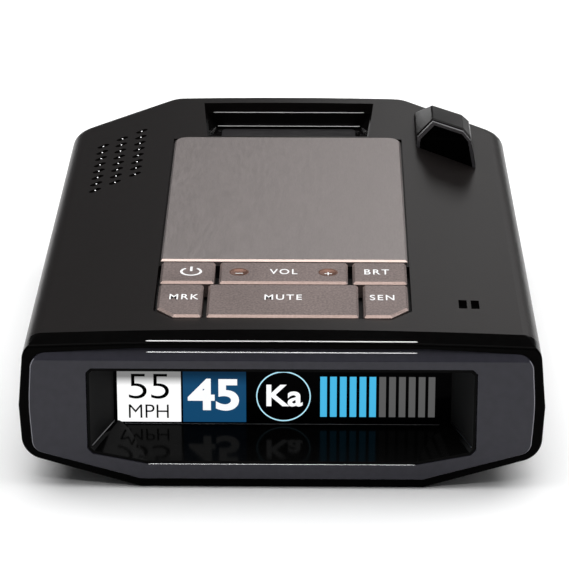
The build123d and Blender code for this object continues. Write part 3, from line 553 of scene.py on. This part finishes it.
def display_graphics():
    """The lit picture: speed tiles, band ring and signal bars."""
    window_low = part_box("display_window")[0]
    face = window_low.y - 0.01 * MM
    half, bottom, top = 27.0 * MM, window_low.z + 1.2 * MM, window_low.z + 10.4 * MM
    wide, tall = 2 * half, top - bottom
    # the white and blue tiles fade towards their top: painted shade of the bezel's top edge
    fade_start = top - 2.7 * MM
    white = glowing("lit_white", (0.96, 0.97, 0.98))
    pane = glowing("lit_white_pane", (1.0, 1.0, 1.0), (fade_start, top - 1.1 * MM, 0.2))
    ink = moulded("lit_black", (0.0005, 0.0005, 0.0005), 0.3, vary=0.02, IOR=1.02)
    blue = glowing("lit_blue", (0.0072, 0.062, 0.15), (fade_start, top - 0.6 * MM, 0.35))
    cyan = glowing("lit_cyan", (0.065, 0.47, 0.77))
    grey = glowing("lit_grey", (0.10, 0.10, 0.10))
    pale = glowing("lit_pale_cyan", (0.45, 0.78, 0.92))

    # places across and up the picture are shares of its width and height
    def place(across, up, proud=0.0):
        return Vector((-half + across * wide, face - proud, bottom + up * tall))

    def tile(name, left, right, low, high, material):
        outline = [(place(x, z).x, place(x, z).z) for x, z in
                   ((left, low), (right, low), (right, high), (left, high))]
        plate_piece(name, outline, THIN, Vector((0, face, 0)), UPRIGHT, material, "case")

    def words(name, text, height, across, up, material, weight, width, spacing=1.0):
        at = place(across, up, 0.06 * MM)
        lettering(name, text, height, at, UPRIGHT, material, "case",
                  weight, width, spacing)

    tile("tile_limit", 0.0, 0.193, 0, 1, pane)
    tile("tile_speed", 0.199, 0.39, 0, 1, blue)
    words("limit_number", "55", 4.55 * MM, 0.097, 0.665, ink, -0.010, 1.2, 0.92)
    words("limit_unit", "MPH", 2.45 * MM, 0.095, 0.19, ink, -0.006, 0.99)
    words("speed_number", "45", 5.2 * MM, 0.295, 0.50, white, 0.028, 1.13)
    ring_piece("band_ring", 4.36 * MM, 0.20 * MM, 0, 360, place(0.503, 0.505), UPRIGHT, pale,
               "case")
    words("band_letters", "Ka", 3.65 * MM, 0.503, 0.50, white, 0.022, 1.08)
    first, pitch, bar, bars, lit = 0.614, 0.0297, 0.0202, 12, 6
    for i in range(bars):
        left = first + i * pitch
        tile(f"signal_bar_{i + 1}", left, left + bar, 0.11, 0.89, cyan if i < lit else grey)


def grille_glint_pins(material):
    """A small bright pin, round-headed, in the middle of each speaker slot: a painted glint."""
    low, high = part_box("speaker_mesh")
    middle = Vector(((low.x + high.x) / 2, (low.y + high.y) / 2, high.z))
    # each column's first pin from the middle of the mesh, and its pins' height, in millimetres
    columns = ((-3.5, -14.9, 1.88), (-0.2, -11.1, 1.99), (3.2, -7.2, 2.10))
    pitch, rows, radius = 3.28 * MM, 8, 0.14 * MM
    stem_radius, head_radius = radius * 0.7, radius * 1.3
    made = bmesh.new()
    for x, y, rise in columns:
        tall = rise * MM
        for row in range(rows):
            at = middle + Vector((x * MM, y * MM + row * pitch, 0))
            bmesh.ops.create_cone(made, cap_ends=True, segments=8, radius1=stem_radius,
                                  radius2=stem_radius, depth=tall,
                                  matrix=Matrix.Translation(at + Vector((0, 0, tall / 2))))
            bmesh.ops.create_icosphere(made, subdivisions=2, radius=head_radius,
                                       matrix=Matrix.Translation(at + Vector((0, 0, tall))))
    return mesh_piece("grille_glint_pins", made, FLAT, material, "case")


def dimple_linings(material, ink):
    """Coppery linings in the volume key's dimples, each with a small mark."""
    low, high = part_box("key_volume")
    lift = 0.012 * MM
    middle = Vector(((low.x + high.x) / 2, (low.y + high.y) / 2, high.z + lift))
    reach, rim, deep = 7.4 * MM, 1.62 * MM, 0.35 * MM
    ball = (rim ** 2 + deep ** 2) / (2 * deep)
    rings, around = 6, 28
    half, wide = 0.62 * MM, 0.11 * MM
    bar = [(-half, -wide), (half, -wide), (half, wide), (-half, wide)]
    cross = [(-wide, -half), (wide, -half), (wide, half), (-wide, half)]
    corners = [2 * math.pi * k / around for k in range(around)]
    for side, name in ((-1, "down"), (1, "up")):
        at = middle + Vector((side * reach, 0, 0))
        made = bmesh.new()
        bottom = made.verts.new((0, 0, -deep))
        last = None
        for i in range(1, rings + 1):
            r = rim * i / rings
            z = ball - deep - math.sqrt(ball ** 2 - r ** 2)
            row = [made.verts.new((r * math.cos(a), r * math.sin(a), z)) for a in corners]
            for k in range(around):
                j = (k + 1) % around
                if last is None:
                    made.faces.new((bottom, row[k], row[j]))
                else:
                    made.faces.new((last[k], row[k], row[j], last[j]))
            last = row
        lining = mesh_piece("dimple_lining_" + name, made, Matrix.Translation(at), material,
                            "key_volume", smooth=True)
        thicken = lining.modifiers.new("thickness", "SOLIDIFY")
        thicken.thickness = THIN
        thicken.offset = -1
        mark_at = at + Vector((0, 0, -deep + 0.05 * MM))
        plate_piece("dimple_bar_" + name, bar, THIN, mark_at, FLAT, ink, "key_volume")
        if side > 0:
            plate_piece("dimple_cross_" + name, cross, 0.032 * MM, mark_at, FLAT, ink,
                        "key_volume")


def painted_edge_highlights(chrome, satin, soft):
    """Painted highlights: metal beads along the flat middle of the ring, bezel, opening and pocket.
    """
    ring_low, ring_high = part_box("front_ring")
    bezel_low, bezel_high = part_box("front_bezel")
    window_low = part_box("display_window")[0]
    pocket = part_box("mount_cradle")[1]
    strike_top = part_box("strike_plate")[1].z
    flat, thick = 21.6, 0.10
    level = (   # name, y, z, half the length and radius in millimetres, material, slot
        ("ring_edge", ring_low.y + 0.3 * MM, ring_high.z - 0.53 * MM, flat, thick, soft, "ring"),
        ("bezel_edge", bezel_low.y + 0.78 * MM, bezel_high.z - 0.6 * MM, flat, thick, chrome,
         "bezel"),
        ("sill_edge", bezel_low.y + 0.12 * MM, bezel_low.z + 2.6 * MM, flat, thick, chrome,
         "bezel"),
        ("screen_edge", window_low.y - 0.03 * MM, window_low.z + 0.85 * MM, 27.9, 0.07, satin,
         "shroud"),
        ("pocket_rim_edge", pocket.y - 2.1 * MM, pocket.z, 14.5, 0.08, soft, "cradle"),
        ("pocket_foot_edge", pocket.y - 2.9 * MM, strike_top, 13.7, 0.07, soft, "cradle"),
    )
    for name, y, z, half, radius, material, slot in level:
        left, right = Vector((-half * MM, y, z)), Vector((half * MM, y, z))
        bead(name, left, right, radius * MM, material)
    # painted highlights along the opening's lower corners
    for side, name in ((-1, "left"), (1, "right")):
        front = Vector((side * 30.45 * MM, bezel_low.y + 0.4 * MM, window_low.z + 2.05 * MM))
        back = Vector((side * 27.45 * MM, window_low.y - 0.05 * MM, window_low.z + 1.5 * MM))
        bead("corner_edge_" + name, front, back, 0.09 * MM, satin)


place_camera()
studio()
dress_nodes()
legend_ink, _ = new_material("legend_ink", (0.8, 0.8, 0.8), 0.5)
key_legends(legend_ink)
display_graphics()
# metals for the pins and beads that stand in for highlights: painted highlights
highlight_chrome, _ = new_material("edge_highlight_chrome", (0.85, 0.85, 0.87), 0.18, 1.0)
highlight_satin, _ = new_material("edge_highlight_satin", (0.30, 0.30, 0.31), 0.30, 1.0)
highlight_soft, _ = new_material("edge_highlight_soft", (0.75, 0.74, 0.74), 0.45, 1.0)
grille_glint_pins(highlight_chrome)
dimple_linings(blasted("dimple_copper", (0.17, 0.085, 0.06), 0.35), legend_ink)
painted_edge_highlights(highlight_chrome, highlight_satin, highlight_soft)
